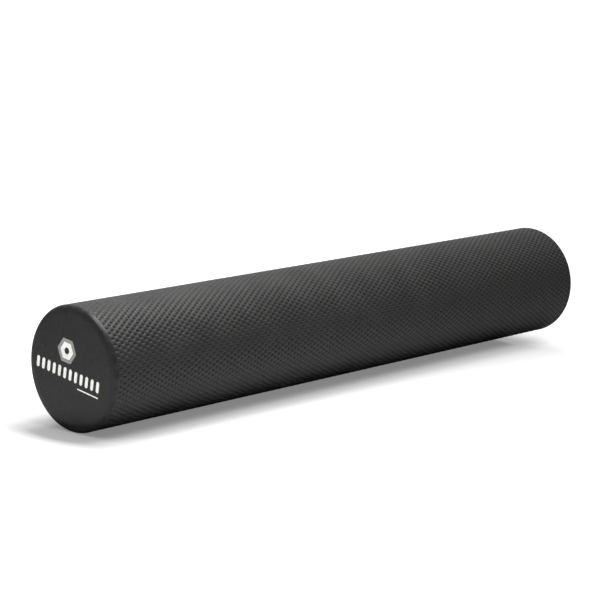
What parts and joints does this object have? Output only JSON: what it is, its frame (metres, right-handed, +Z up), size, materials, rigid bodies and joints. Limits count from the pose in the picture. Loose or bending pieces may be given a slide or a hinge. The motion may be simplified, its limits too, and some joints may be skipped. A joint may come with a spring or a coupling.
{
  "type": "foam roller",
  "caption": "Long round foam roller for massage and floor exercise: closed-cell foam core in a textured barrel skin with smooth rounded ends.",
  "frame": {"origin": "on the floor under the middle of the roller: the bottom centre of its box", "axes": "+X along the roller's axis towards the plain end, with the printed end at -X; +Z up; -Y faces the front"},
  "size_m": [0.914, 0.156, 0.156],
  "materials": {
    "core_foam": "matt, fine closed cells",
    "textured_skin": "matt moulded foam skin with a fine diamond emboss",
    "smooth_skin": "matt moulded foam skin, smooth",
    "grey_ink": "matt transfer ink",
    "white_ink": "matt transfer ink"
  },
  "bodies": {
    "root": {"core_lower_plank": "core_foam", "core_middle_plank": "core_foam", "core_upper_plank": "core_foam", "barrel_skin": "textured_skin", "printed_end_skin": "smooth_skin", "plain_end_skin": "smooth_skin", "badge_border_print": "grey_ink", "badge_field_print": "white_ink", "bar_row_print": "white_ink", "underline_print": "white_ink"}
  },
  "joints": []
}
